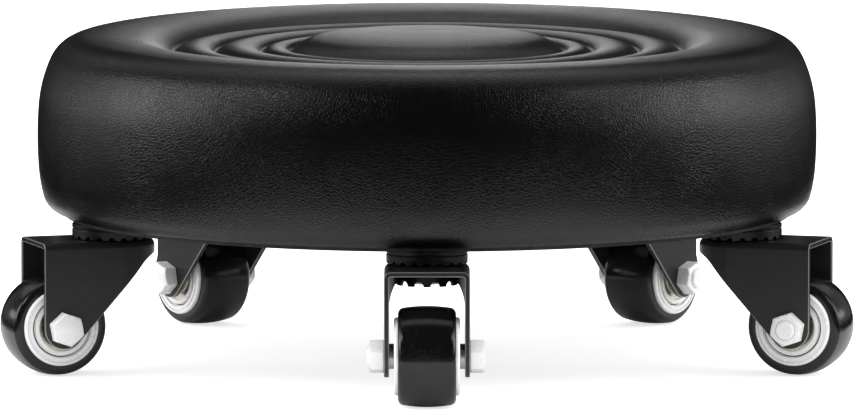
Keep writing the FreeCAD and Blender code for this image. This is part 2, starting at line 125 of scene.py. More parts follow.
def math_node(tree, operation, first, second=0.0):
    """One sum; the result's socket."""
    return add(tree, "ShaderNodeMath", {"operation": operation}, i0=first, i1=second).outputs[0]


def spread(tree, value, low, high, start=0.0, end=1.0):
    """Maps a value from one span to another, held at both ends."""
    return add(tree, "ShaderNodeMapRange", None, Value=value, From_Min=start, From_Max=end,
               To_Min=low, To_Max=high).outputs[0]


def mix_colour(tree, factor, first, second):
    """A blend of two colours."""
    node = add(tree, "ShaderNodeMix", {"data_type": "RGBA"}, i0=factor, i6=first, i7=second)
    return node.outputs[2]


def new_group(name, inputs, outputs):
    """An empty shader group with named inputs and number outputs, and its two end nodes."""
    tree = bpy.data.node_groups.new(name, "ShaderNodeTree")
    for label, value in inputs.items():
        kind = "NodeSocketVector" if isinstance(value, tuple) else "NodeSocketFloat"
        socket = tree.interface.new_socket(label, in_out="INPUT", socket_type=kind)
        socket.default_value = value
    for label in outputs:
        tree.interface.new_socket(label, in_out="OUTPUT", socket_type="NodeSocketFloat")
    return tree, tree.nodes.new("NodeGroupInput"), tree.nodes.new("NodeGroupOutput")


def use_group(tree, group, **inputs):
    """Places a shader group in a material."""
    return add(tree, "ShaderNodeGroup", {"node_tree": group}, **inputs)


def new_material(name):
    """A material with a Principled shader; returns the material, its tree and that shader."""
    material = bpy.data.materials.new(name)
    material.use_nodes = True
    tree = material.node_tree
    return material, tree, tree.nodes["Principled BSDF"]


def object_point(tree):
    """The point being shaded, in the seat's own metres."""
    return add(tree, "ShaderNodeTexCoord").outputs["Object"]


def bump_into(tree, shader, height, distance, strength=1.0):
    """Feeds a height between 0 and 1, worth a distance in metres, into a shader's normal."""
    bump = add(tree, "ShaderNodeBump", None, Strength=strength, Distance=distance, Height=height)
    tree.links.new(bump.outputs[0], shader.inputs["Normal"])


# %% [markdown]
# ## Effects that several materials share
#
# Three effects come back on several pieces. *Grain* is the pebbled surface of leatherette.
# *Orange peel* is the slight unevenness of powder coat and moulded tyre. *Handling* is the dust
# and rub that settle on anything used on a workshop floor. Each is made once, as a group, so that
# a material only has to say how large and how strong the effect is on its own piece.

# %% Grain


def make_grain():
    """Pebbles of two sizes with creases between them, as pressed into leatherette.

    Crease is 0 in the creases and 1 on the pebbles.
    """
    inputs = {"Point": (0.0, 0.0, 0.0), "Pebbles": 900.0}
    tree, given, result = new_group("Grain", inputs, ["Height", "Crease"])
    point = given.outputs["Point"]
    warp = add(tree, "ShaderNodeTexNoise", None, Vector=point, Scale=260.0, Detail=2.0)
    shift = add(tree, "ShaderNodeVectorMath", {"operation": "MULTIPLY_ADD"},
                i0=warp.outputs["Color"], i1=(1.2 * MM, 1.2 * MM, 1.2 * MM), i2=point)
    cells = add(tree, "ShaderNodeTexVoronoi", {"feature": "DISTANCE_TO_EDGE"},
                Vector=shift.outputs[0], Scale=given.outputs["Pebbles"])
    crease = spread(tree, cells.outputs["Distance"], 0.0, 1.0, end=0.22)
    fine = add(tree, "ShaderNodeTexNoise", None, Vector=point,
               Scale=math_node(tree, "MULTIPLY", given.outputs["Pebbles"], 2.4), Detail=3.0)
    patches = add(tree, "ShaderNodeTexNoise", None, Vector=point, Scale=42.0, Detail=2.0)
    depth = spread(tree, patches.outputs[0], 0.55, 1.0, start=0.3, end=0.7)
    pebbles = math_node(tree, "MULTIPLY", crease, depth)
    height = math_node(tree, "ADD", pebbles, math_node(tree, "MULTIPLY", fine.outputs[0], 0.35))
    tree.links.new(height, result.inputs["Height"])
    tree.links.new(crease, result.inputs["Crease"])
    return tree


GRAIN = make_grain()
print("grain:", len(GRAIN.nodes), "nodes")

# %% Orange peel and handling


def make_orange_peel():
    """The slight waviness of a sprayed or moulded surface, with fine specks."""
    inputs = {"Point": (0.0, 0.0, 0.0), "Size": 500.0}
    tree, given, result = new_group("Orange peel", inputs, ["Height", "Specks"])
    point = given.outputs["Point"]
    size = given.outputs["Size"]
    waves = add(tree, "ShaderNodeTexNoise", None, Vector=point, Scale=size, Detail=2.0)
    specks = add(tree, "ShaderNodeTexNoise", None, Vector=point,
                 Scale=math_node(tree, "MULTIPLY", size, 5.0), Detail=2.0)
    raised = math_node(tree, "MULTIPLY", specks.outputs[0], 0.2)
    height = math_node(tree, "ADD", waves.outputs[0], raised)
    tree.links.new(height, result.inputs["Height"])
    tree.links.new(specks.outputs[0], result.inputs["Specks"])
    return tree


def make_handling():
    """Where dust settles and where hands rub: broad soft patches with finer breaks in them."""
    inputs = {"Point": (0.0, 0.0, 0.0), "Patches": 18.0}
    tree, given, result = new_group("Handling", inputs, ["Dust", "Rub"])
    point = given.outputs["Point"]
    patches = given.outputs["Patches"]
    broad = add(tree, "ShaderNodeTexNoise", None, Vector=point, Scale=patches, Detail=4.0)
    fine = add(tree, "ShaderNodeTexNoise", None, Vector=point,
               Scale=math_node(tree, "MULTIPLY", patches, 14.0), Detail=3.0)
    both = math_node(tree, "MULTIPLY", broad.outputs[0], fine.outputs[0])
    dust = spread(tree, both, 0.0, 1.0, start=0.22, end=0.42)
    tree.links.new(dust, result.inputs["Dust"])
    rub = spread(tree, broad.outputs[0], 0.0, 1.0, start=0.4, end=0.65)
    tree.links.new(rub, result.inputs["Rub"])
    return tree


ORANGE_PEEL = make_orange_peel()
HANDLING = make_handling()
print("shared effects:", GRAIN.name, ORANGE_PEEL.name, HANDLING.name)

# %% [markdown]
# ## Leatherette
#
# Black leatherette isn't a mirror and isn't matt: its film is smooth between the creases, so it
# shows broad, soft lights. The grain is far less than half a millimetre deep, which only shows
# where light rakes across it, so it is a bump and not modelled. The creases are a touch rougher
# than the pebbles, and patches that hands have rubbed are a touch smoother and paler.

# %% Leatherette
BLACK_LEATHER = (0.0010, 0.0010, 0.0010, 1)
RUBBED_LEATHER = (0.0018, 0.0018, 0.0018, 1)
PEBBLES_PER_METRE = 820.0
GRAIN_DEPTH = 0.14 * MM


def make_leather():
    """Black leatherette with pebbled grain, a little rubbed in broad patches."""
    material, tree, shader = new_material("black_leatherette")
    point = object_point(tree)
    grain = use_group(tree, GRAIN, Point=point, Pebbles=PEBBLES_PER_METRE)
    handling = use_group(tree, HANDLING, Point=point, Patches=9.0)
    colour = mix_colour(tree, handling.outputs["Rub"], BLACK_LEATHER, RUBBED_LEATHER)
    tree.links.new(colour, shader.inputs["Base Color"])
    in_creases = spread(tree, grain.outputs["Crease"], 0.05, 0.0)
    film = spread(tree, handling.outputs["Rub"], 0.30, 0.27)
    rough = math_node(tree, "ADD", in_creases, film)
    tree.links.new(rough, shader.inputs["Roughness"])
    bump_into(tree, shader, grain.outputs["Height"], GRAIN_DEPTH, strength=0.5)
    return material


LEATHER = make_leather()
print("cover finish:", LEATHER.name)

# %% [markdown]
# ## Foam, plywood and hardboard
#
# Inside the leather are cream foam and a plywood board, and a thin stained hardboard closes the
# underside. The foam is full of small open cells. Plywood shows long grain on its face and thin
# plies on its edge, which follow the height above the floor, and hardboard shows pressed fibres.

# %% Foam, plywood and hardboard
FOAM_IN_SHADE = (0.62, 0.55, 0.36, 1)
FOAM_IN_LIGHT = (0.86, 0.80, 0.62, 1)
LATE_WOOD = (0.50, 0.33, 0.17, 1)
EARLY_WOOD = (0.72, 0.54, 0.33, 1)
PLY_EDGE = (0.32, 0.19, 0.09, 1)
PLY_THICKNESS = 1.7 * MM
DARK_STAIN = (0.014, 0.007, 0.006, 1)
PALE_STAIN = (0.034, 0.015, 0.012, 1)
BOARD_DUST = (0.10, 0.09, 0.08, 1)


def make_foam_material():
    """Cream upholstery foam with its open cells."""
    material, tree, shader = new_material("cream_foam")
    point = object_point(tree)
    cells = add(tree, "ShaderNodeTexVoronoi", None, Vector=point, Scale=620.0)
    lit = spread(tree, cells.outputs["Distance"], 1.0, 0.0, start=0.1, end=0.7)
    colour = mix_colour(tree, lit, FOAM_IN_SHADE, FOAM_IN_LIGHT)
    tree.links.new(colour, shader.inputs["Base Color"])
    shader.inputs["Roughness"].default_value = 0.95
    bump_into(tree, shader, cells.outputs["Distance"], 0.6 * MM, strength=0.8)
    return material


def make_plywood():
    """Plywood: pale face veneer with long grain, and plies that show on its edge."""
    material, tree, shader = new_material("plywood")
    point = object_point(tree)
    along = add(tree, "ShaderNodeMapping", None, Vector=point, Scale=(1.0, 14.0, 14.0))
    rings = add(tree, "ShaderNodeTexNoise", None, Vector=along.outputs[0], Scale=26.0, Detail=5.0,
                Distortion=0.6)
    height = add(tree, "ShaderNodeSeparateXYZ", None, Vector=point).outputs[2]
    plies = math_node(tree, "PINGPONG", height, PLY_THICKNESS)
    veneer = mix_colour(tree, rings.outputs[0], LATE_WOOD, EARLY_WOOD)
    in_ply = spread(tree, plies, 0.0, 0.35, end=PLY_THICKNESS)
    colour = mix_colour(tree, in_ply, veneer, PLY_EDGE)
    tree.links.new(colour, shader.inputs["Base Color"])
    shader.inputs["Roughness"].default_value = 0.72
    bump_into(tree, shader, rings.outputs[0], 0.3 * MM, strength=0.4)
    return material


def make_hardboard():
    """The thin base: hardboard stained a dark red brown, with its pressed fibres."""
    material, tree, shader = new_material("stained_hardboard")
    point = object_point(tree)
    fibres = add(tree, "ShaderNodeTexNoise", None, Vector=point, Scale=420.0, Detail=4.0,
                 Distortion=1.4)
    handling = use_group(tree, HANDLING, Point=point, Patches=14.0)
    stain = mix_colour(tree, fibres.outputs[0], DARK_STAIN, PALE_STAIN)
    dusty = math_node(tree, "MULTIPLY", handling.outputs["Dust"], 0.2)
    colour = mix_colour(tree, dusty, stain, BOARD_DUST)
    tree.links.new(colour, shader.inputs["Base Color"])
    tree.links.new(spread(tree, fibres.outputs[0], 0.62, 0.82), shader.inputs["Roughness"])
    bump_into(tree, shader, fibres.outputs[0], 0.2 * MM, strength=0.6)
    return material


FOAM = make_foam_material()
PLYWOOD = make_plywood()
HARDBOARD = make_hardboard()
print("inner finishes:", FOAM.name, PLYWOOD.name, HARDBOARD.name)

# %% [markdown]
# ## Powder coat and tyre
#
# The forks and the cups of the swivel heads are powder coated: black, satin, with a skin like very
# fine orange peel. The cups sit in the shade of the cushion, and that shade is painted into their
# coat, which is the blacker of the two. The tyres are moulded, so they share that skin, only
# larger, and are smoother.

# %% Powder coat and tyre
FORK_BLACK = 0.012
# The cups' black is darker than the forks' as painted shade from the cushion over them.
CUP_BLACK_PAINTED_SHADE = 0.004
COAT_DUST = (0.05, 0.048, 0.045, 1)
TYRE_BLACK = (0.004, 0.004, 0.004, 1)
TYRE_DUST = (0.07, 0.068, 0.064, 1)


def make_powder_coat(name, black):
    """Satin black powder coat."""
    material, tree, shader = new_material(name)
    point = object_point(tree)
    peel = use_group(tree, ORANGE_PEEL, Point=point, Size=620.0)
    handling = use_group(tree, HANDLING, Point=point, Patches=30.0)
    dusty = math_node(tree, "MULTIPLY", handling.outputs["Dust"], 0.12)
    colour = mix_colour(tree, dusty, (black, black, 1.03 * black, 1), COAT_DUST)
    tree.links.new(colour, shader.inputs["Base Color"])
    satin = spread(tree, peel.outputs["Specks"], 0.30, 0.42, start=0.3, end=0.7)
    tree.links.new(satin, shader.inputs["Roughness"])
    bump_into(tree, shader, peel.outputs["Height"], 0.12 * MM, strength=0.35)
    return material


def make_tyre_material():
    """Moulded black tyre: smooth and slightly glossy, with a breath of dust."""
    material, tree, shader = new_material("black_tyre")
    point = object_point(tree)
    peel = use_group(tree, ORANGE_PEEL, Point=point, Size=240.0)
    handling = use_group(tree, HANDLING, Point=point, Patches=60.0)
    dusty = math_node(tree, "MULTIPLY", handling.outputs["Dust"], 0.10)
    colour = mix_colour(tree, dusty, TYRE_BLACK, TYRE_DUST)
    tree.links.new(colour, shader.inputs["Base Color"])
    tree.links.new(spread(tree, handling.outputs["Rub"], 0.16, 0.24), shader.inputs["Roughness"])
    bump_into(tree, shader, peel.outputs["Height"], 0.1 * MM, strength=0.25)
    return material


POWDER_COAT = make_powder_coat("black_powder_coat", FORK_BLACK)
CUP_COAT_PAINTED_SHADE = make_powder_coat("black_cup_coat_painted_shade", CUP_BLACK_PAINTED_SHADE)
TYRE = make_tyre_material()
print("black finishes:", POWDER_COAT.name, CUP_COAT_PAINTED_SHADE.name, TYRE.name)

# %% [markdown]
# ## Bright metal
#
# Bolts, nuts and wheel cores are bright plated metal. Dull plating scatters most of the light that
# falls on it, so its Metallic value stays far under 1: it looks white under any light, where a
# mirror would show the dark of the room. A core is turned on a lathe, which leaves rings about
# its own axle, and painted shade marks the groove in its face as a dark ring; so each wheel gets
# its own copy of that material, and the distance from that axle is worked out with vector math
# from the point and the joint in the frame.

# %% Plated steel
PLATED_MIRROR = 0.12
CLOUDED_SHARE = 0.94


def make_plated(name, colour, rough, mirror=1.0):
    """Plated or polished steel, with a faint cloudiness and small scratches."""
    material, tree, shader = new_material(name)
    point = object_point(tree)
    cloud = add(tree, "ShaderNodeTexNoise", None, Vector=point, Scale=180.0, Detail=4.0)
    long_way = add(tree, "ShaderNodeMapping", None, Vector=point, Scale=(1.0, 1.0, 9.0))
    scratches = add(tree, "ShaderNodeTexNoise", None, Vector=long_way.outputs[0], Scale=900.0,
                    Detail=2.0)
    clouded = tuple(CLOUDED_SHARE * part for part in colour[:3]) + (1,)
    tree.links.new(mix_colour(tree, cloud.outputs[0], clouded, colour), shader.inputs["Base Color"])
    roughness = spread(tree, scratches.outputs[0], rough - 0.05, rough + 0.08,
                       start=0.3, end=0.7)
    tree.links.new(roughness, shader.inputs["Roughness"])
    shader.inputs["Metallic"].default_value = mirror
    bump_into(tree, shader, scratches.outputs[0], 0.04 * MM, strength=0.3)
    return material


# Grey metal for the bevels on the forks, a painted highlight along their edges.
EDGE_HIGHLIGHT_METAL = make_plated("edge_highlight_metal", (0.34, 0.34, 0.34, 1), rough=0.34, mirror=0.7)
BRIGHT_ZINC = make_plated("bright_zinc", (0.99, 0.99, 0.99, 1), rough=0.28, mirror=PLATED_MIRROR)
STEEL = make_plated("plain_steel", (0.62, 0.61, 0.60, 1), rough=0.34)
BEARING_STEEL = make_plated("bearing_steel", (0.78, 0.72, 0.60, 1), rough=0.28)
print("plated finishes:", EDGE_HIGHLIGHT_METAL.name, BRIGHT_ZINC.name, STEEL.name, BEARING_STEEL.name)

# %% Turned wheel cores
CORE_DULL = (0.92, 0.92, 0.93, 1)
CORE_BRIGHT = (0.99, 0.99, 0.99, 1)
RING_SHADE = (0.02, 0.02, 0.02, 1)
# Each dark ring on a core: its distance from the axle, half its width, and how dark it is.
# The first and darkest is painted shade in the face groove; the other two are fainter dark lines.
CORE_RINGS = (
    (11.65 * MM, 0.34 * MM, 0.94),
    (14.2 * MM, 0.26 * MM, 0.20),
    (8.4 * MM, 0.30 * MM, 0.25),
)


def axle_of(index):
    """The centre of a wheel and the direction of its axle."""
    joint = JOINTS[f"caster_{index}_roll"]
    return Vector(joint["pos_m"]), Vector(joint["axis"]).normalized()


def make_turned(index):
    """Bright metal with the rings that turning leaves, about one wheel's own axle, and dark rings painted on, the
    darkest as painted shade in the face groove.
    """
    material, tree, shader = new_material(f"turned_core_{index}")
    centre, axle = axle_of(index)
    point = object_point(tree)
    away = add(tree, "ShaderNodeVectorMath", {"operation": "SUBTRACT"}, i0=point, i1=tuple(centre))
    across = add(tree, "ShaderNodeVectorMath", {"operation": "CROSS_PRODUCT"},
                 i0=away.outputs[0], i1=tuple(axle))
    length = add(tree, "ShaderNodeVectorMath", {"operation": "LENGTH"}, i0=across.outputs[0])
    radius = length.outputs["Value"]
    rings = add(tree, "ShaderNodeTexNoise", {"noise_dimensions": "1D"}, W=radius, Scale=5200.0,
                Detail=3.0)
    cloud = add(tree, "ShaderNodeTexNoise", None, Vector=point, Scale=120.0, Detail=3.0)
    colour = mix_colour(tree, rings.outputs[0], CORE_DULL, CORE_BRIGHT)
    # The first ring is painted shade in the face groove; the other two are fainter dark lines.
    for place, half_width, darkness in CORE_RINGS:
        beside = math_node(tree, "ABSOLUTE", math_node(tree, "SUBTRACT", radius, place))
        mask = spread(tree, beside, darkness, 0.0, start=0.6 * half_width, end=half_width)
        colour = mix_colour(tree, mask, colour, RING_SHADE)
    tree.links.new(colour, shader.inputs["Base Color"])
    roughness = spread(tree, cloud.outputs[0], 0.20, 0.32, start=0.3, end=0.7)
    tree.links.new(roughness, shader.inputs["Roughness"])
    shader.inputs["Metallic"].default_value = PLATED_MIRROR
    bump_into(tree, shader, rings.outputs[0], 0.05 * MM, strength=0.35)
    return material


TURNED_CORES = [make_turned(index) for index in CASTERS]
print("turned finishes:", len(TURNED_CORES))

# %% [markdown]
# ## Dressing the built pieces
#
# Most built pieces already have the right shape and only need their finish. A material goes into
# the piece's slots; the mesh itself stays untouched. A caster's pieces end in its number, so one
# row of the table serves all five.

# %% Put the finishes on the built pieces
FINISHES = {
    "seat_cover": LEATHER,
    "seat_foam": FOAM,
    "seat_board": PLYWOOD,
    "base_cover": HARDBOARD,
    "cover_staples": STEEL,
    "base_screws": BRIGHT_ZINC,
    "caster_stems": STEEL,
    "tee_nuts": BRIGHT_ZINC,
    "upper_cup": CUP_COAT_PAINTED_SHADE,
    "lower_cup": CUP_COAT_PAINTED_SHADE,
    "swivel_balls": STEEL,
    "fork": POWDER_COAT,
    "axle_bolt": BRIGHT_ZINC,
    "axle_nut": BRIGHT_ZINC,
    "axle_sleeve": STEEL,
    "bearings": BEARING_STEEL,
    "tyre": TYRE,
}


def dress(piece, material):
    """Gives every face of a piece one material."""
    piece.data.materials.clear()
    piece.data.materials.append(material)


for name, piece in frame["nodes"].items():
    kind, _, number = name.rpartition("_")
    if kind == "wheel_core":
        dress(piece, TURNED_CORES[int(number) - 1])
    else:
        dress(piece, FINISHES.get(name) or FINISHES[kind])
print("dressed", len(frame["nodes"]), "built pieces")

# %% [markdown]
# ### Edges that catch the light
#
# No folded sheet or forged hexagon has a perfectly sharp edge. Tumbling and powder coat leave it
# rounded by a few tenths of a millimetre, and that narrow band draws the thin pale line which
# tells the eye that a black part is made of metal. The built pieces are loose triangles, so a
# copy is merged first, its flat faces are joined, and a small bevel goes on the sharp edges. On
# the forks that band gets a second material, a paler grey metal: a painted highlight along every
# sharp edge of the coat.

# %% Copies of the sheet and bolt parts with softened edges
EDGE_WIDTHS = {
    "fork": 0.32 * MM,
    "upper_cup": 0.16 * MM,
    "lower_cup": 0.20 * MM,
    "axle_bolt": 0.30 * MM,
    "axle_nut": 0.30 * MM,
}
MERGE_DISTANCE = 0.001 * MM
FLAT_ANGLE = math.radians(0.6)
SHARP_ANGLE = math.radians(32)
OLD_SHADING = ("custom_normal", "sharp_edge")
BODIES = frame["record"]["behaviour"]["bodies"]
BODY_OF = {node: body for body, nodes in BODIES.items() for node in nodes}


def shade_smooth(mesh):
    """Shades every face of a mesh smooth."""
    mesh.polygons.foreach_set("use_smooth", [True] * len(mesh.polygons))


def merged_copy(node):
    """A copy of a built piece with its doubles merged and its flat faces joined."""
    shape = bmesh.new()
    shape.from_mesh(frame["nodes"][node].data)
    bmesh.ops.remove_doubles(shape, verts=shape.verts, dist=MERGE_DISTANCE)
    bmesh.ops.dissolve_limit(shape, angle_limit=FLAT_ANGLE, verts=shape.verts, edges=shape.edges)
    mesh = bpy.data.meshes.new(node + "_soft")
    shape.to_mesh(mesh)
    shape.free()
    piece = bpy.data.objects.new(node + "_soft", mesh)
    bpy.context.scene.collection.objects.link(piece)
    for label in OLD_SHADING:
        layer = mesh.attributes.get(label)
        if layer:
            mesh.attributes.remove(layer)
    shade_smooth(mesh)
    dress(piece, frame["nodes"][node].data.materials[0])
    return piece


def softened(node, width):
    """A copy of a built piece whose sharp edges have a narrow rounded bevel."""
    piece = merged_copy(node)
    bevel = piece.modifiers.new("edges", "BEVEL")
    bevel.width = width
    bevel.segments = 2
    bevel.limit_method = "ANGLE"
    bevel.angle_limit = SHARP_ANGLE
    bevel.use_clamp_overlap = False
    bevel.harden_normals = True
    # On a fork the bevel gets that grey metal as a painted highlight.
    if node.startswith("fork"):
        piece.data.materials.append(EDGE_HIGHLIGHT_METAL)
        bevel.material = 1
    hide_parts(node)
    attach(piece, BODY_OF[node])
    return piece


softened_pieces = [softened(f"{kind}_{index}", width)
                   for kind, width in EDGE_WIDTHS.items() for index in CASTERS]
print("softened", len(softened_pieces), "pieces")

# %% [markdown]
# ## The cushion
#
# A cushion like this is one turned shape: its half section, swung round the seat's axis. The
# section is a few arcs that meet smoothly: a flat dome with a steep side, three rings between
# narrow grooves where the leather dives in, a broad rim, a round shoulder, a wall that bulges a
# little and a foot that turns in under the board. Its heights start from the boxes in the frame,
# and its widths are the cushion's own sizes.

# %% Sizes of the cushion's half section
cover_low, cover_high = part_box("seat_cover")
board_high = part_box("seat_board")[1]
SEAT_RADIUS = 157.5 * MM
HEM_HEIGHT = cover_low.z
# The built dome is the highest point of the frame's cover; the rim's crest lies below it.
BUILT_DOME_RISE = 2.95 * MM
CREST = cover_high.z - BUILT_DOME_RISE
GROOVE = CREST - 7.25 * MM
LEATHER_THICKNESS = 1.2 * MM

DOME_RADIUS = 55.45 * MM
DOME_RISE = 1.10 * MM
DOME_CROWN = 1.75 * MM
DOME_SHOULDER_SHARE = 0.80
DOME_SHOULDER_ANGLE = 10.5
DOME_SIDE_ANGLE = 50.0

RING_WIDTHS = (11.1 * MM, 18.9 * MM, 17.1 * MM)
RING_DROPS = (4.55 * MM, 3.95 * MM, 3.95 * MM)
RING_FULLNESS = 1.35

RIM_TOP_RADIUS = 119.0 * MM
RIM_TOP_DROP = 0.60 * MM
RIM_FALL_ANGLE = 44.0

CORNER_REACH = 19.2 * MM
CORNER_DROP = 28.3 * MM
WALL_BULGE = 0.45 * MM
FOOT_REACH = 10.0 * MM
FOOT_RISE = 17.6 * MM

ARC_STEPS = {"dome": 10, "dome side": 8, "ring": 5, "rim": 8, "shoulder": 10, "wall": 12, "foot": 9}
print("cushion:", round(2 * SEAT_RADIUS / MM), "mm across, rim at", round(CREST / MM, 1), "mm")

# %% Arcs that meet smoothly
STRAIGHT_TURN = 1e-6


def heading(angle):
    """A unit direction in the section, in degrees from straight outwards."""
    return np.array([math.cos(math.radians(angle)), math.sin(math.radians(angle))])


def arc_points(start, leaving, end, steps):
    """Points along the arc that leaves a point in a direction and passes through another."""
    chord = end - start
    # An arc turns by twice the angle between its first direction and its chord.
    cross = leaving[0] * chord[1] - leaving[1] * chord[0]
    turn = 2 * math.atan2(cross, leaving.dot(chord))
    if abs(turn) < STRAIGHT_TURN:
        return [start + chord * step / steps for step in range(steps)]
    radius = math.hypot(*chord) / (2 * math.sin(turn / 2))
    centre = start + radius * np.array([-leaving[1], leaving[0]])
    spoke = start - centre
    points = []
    for step in range(steps):
        angle = turn * step / steps
        points.append(centre + np.array([spoke[0] * math.cos(angle) - spoke[1] * math.sin(angle),
                                         spoke[0] * math.sin(angle) + spoke[1] * math.cos(angle)]))
    return points


def double_arc(start, leaving, end, arriving, steps):
    """Two arcs that join smoothly, with a given direction at each end."""
    span = end - start
    total = leaving + arriving
    spare = 2 * (1 - leaving.dot(arriving))
    # Both tangents run the same reach from their ends, and the arcs meet halfway between them.
    reach = (math.sqrt(span.dot(total) ** 2 + spare * span.dot(span)) - span.dot(total)) / spare
    joint = (start + end + (leaving - arriving) * reach) / 2
    tangent = joint - start - leaving * reach
    tangent = tangent / math.hypot(*tangent)
    return arc_points(start, leaving, joint, steps) + arc_points(joint, tangent, end, steps)


def ring_crown(start, end, rise, steps):
    """An even crown between two grooves at the same height, flatter on top than one arc."""
    top = (start + end) / 2 + np.array([0.0, rise])
    lean = RING_FULLNESS * math.degrees(2 * math.atan2(rise, top[0] - start[0]))
    return (double_arc(start, heading(lean), top, heading(0), steps)
            + double_arc(top, heading(0), end, heading(-lean), steps))


# %% The half section, from the middle of the dome to the hem


def top_section(inset):
    """The dome and the rings; returns their points and the last groove."""
    middle = np.array([0.0, CREST - inset + DOME_RISE])
    shoulder = middle + np.array([DOME_RADIUS * DOME_SHOULDER_SHARE, -DOME_CROWN])
    falling = heading(-DOME_SHOULDER_ANGLE)
    edge = np.array([DOME_RADIUS, GROOVE - inset])
    points = double_arc(middle, heading(0), shoulder, falling, ARC_STEPS["dome"])
    points += double_arc(shoulder, falling, edge, heading(-DOME_SIDE_ANGLE), ARC_STEPS["dome side"])
    for width, drop in zip(RING_WIDTHS, RING_DROPS):
        far = edge + np.array([width, 0.0])
        points += ring_crown(edge, far, CREST - drop - GROOVE, ARC_STEPS["ring"])
        edge = far
    return points, edge


def cushion_section(inset=0.0):
    """The whole half section; an inset draws it in on every side, as the foam needs."""
    points, edge = top_section(inset)
    crest = CREST - inset
    wall = SEAT_RADIUS - WALL_BULGE - inset
    wall_top = np.array([wall, CREST - CORNER_DROP])
    wall_foot = np.array([wall, HEM_HEIGHT + FOOT_RISE])
    shoulder = np.array([SEAT_RADIUS - WALL_BULGE - CORNER_REACH, crest])
    hem = np.array([SEAT_RADIUS - FOOT_REACH, HEM_HEIGHT + inset])
    lean = math.degrees(math.atan(4 * WALL_BULGE / (wall_top[1] - wall_foot[1])))
    rim_top = np.array([RIM_TOP_RADIUS, crest - RIM_TOP_DROP])
    rim_lean = 2 * math.degrees(math.atan2(RIM_TOP_DROP, shoulder[0] - RIM_TOP_RADIUS))
    over_rim = heading(rim_lean)
    points += double_arc(edge, heading(RIM_FALL_ANGLE), rim_top, over_rim, ARC_STEPS["rim"])
    points += arc_points(rim_top, over_rim, shoulder, ARC_STEPS["rim"])
    points += double_arc(shoulder, heading(0), wall_top, heading(lean - 90), ARC_STEPS["shoulder"])
    points += arc_points(wall_top, heading(-90 + lean), wall_foot, ARC_STEPS["wall"])
    points += double_arc(wall_foot, heading(-90 - lean), hem, heading(180), ARC_STEPS["foot"])
    return points + [hem]


print("section points:", len(cushion_section()))

# %% [markdown]
# ### From a section to a skin
#
# Such a shape follows a rule, so Geometry Nodes make it: a grid whose one side goes round the seat
# and whose other side runs along the section, read from a curve. The tree takes the section as an
# object and the two counts as named inputs, so the same tree makes the leather and, with another
# section and fewer steps, the foam inside it. It ends in Realize Instances and Set Material, and
# the result is read back as a plain mesh.

# %% A tree that turns a section into a skin
SEAM_DISTANCE = 0.02 * MM
SKIN_INPUTS = {"Section": "Object", "Along": "Int", "Around": "Int", "Finish": "Material"}


def make_turned_skin():
    """Sweeps a section round the seat's axis: a grid, bent by sampling the section's curve."""
    tree = bpy.data.node_groups.new("Turned skin", "GeometryNodeTree")
    for label, kind in SKIN_INPUTS.items():
        tree.interface.new_socket(label, in_out="INPUT", socket_type="NodeSocket" + kind)
    tree.interface.new_socket("Mesh", in_out="OUTPUT", socket_type="NodeSocketGeometry")
    given = tree.nodes.new("NodeGroupInput")
    result = tree.nodes.new("NodeGroupOutput")
    section = add(tree, "GeometryNodeObjectInfo", None, Object=given.outputs["Section"])
    grid = add(tree, "GeometryNodeMeshGrid", None, Size_X=1.0, Size_Y=1.0,
               Vertices_X=given.outputs["Along"], Vertices_Y=given.outputs["Around"])
    position = add(tree, "GeometryNodeInputPosition").outputs[0]
    place = add(tree, "ShaderNodeSeparateXYZ", None, Vector=position)
    along = math_node(tree, "ADD", place.outputs[0], 0.5)
    share = math_node(tree, "ADD", place.outputs[1], 0.5)
    around = math_node(tree, "MULTIPLY", share, 2 * math.pi)
    sample = add(tree, "GeometryNodeSampleCurve", {"mode": "FACTOR"},
                 Curves=section.outputs["Geometry"], Factor=along)
    reach = add(tree, "ShaderNodeSeparateXYZ", None, Vector=sample.outputs["Position"])
    bent = add(tree, "ShaderNodeCombineXYZ", None,
               X=math_node(tree, "MULTIPLY", reach.outputs[0], math_node(tree, "COSINE", around)),
               Y=math_node(tree, "MULTIPLY", reach.outputs[0], math_node(tree, "SINE", around)),
               Z=reach.outputs[2])
    moved = add(tree, "GeometryNodeSetPosition", None, Geometry=grid.outputs["Mesh"],
                Position=bent.outputs[0])
    closed = add(tree, "GeometryNodeMergeByDistance", None, Geometry=moved.outputs[0],
                 Distance=SEAM_DISTANCE)
    plain = add(tree, "GeometryNodeRealizeInstances", None, Geometry=closed.outputs[0])
    painted = add(tree, "GeometryNodeSetMaterial", None, Geometry=plain.outputs[0],
                  Material=given.outputs["Finish"])
    tree.links.new(painted.outputs[0], result.inputs["Mesh"])
    return tree


TURNED_SKIN = make_turned_skin()
print("skin tree:", len(TURNED_SKIN.nodes), "nodes")

# %% Run the tree and read the result back


def section_curve(name, points):
    """The section as a curve that Geometry Nodes can read."""
    curve = bpy.data.curves.new(name, "CURVE")
    curve.dimensions = "3D"
    spline = curve.splines.new("POLY")
    spline.points.add(len(points) - 1)
    for target, point in zip(spline.points, points):
        target.co = (point[0], 0.0, point[1], 1.0)
    holder = bpy.data.objects.new(name, curve)
    bpy.context.scene.collection.objects.link(holder)
    return holder


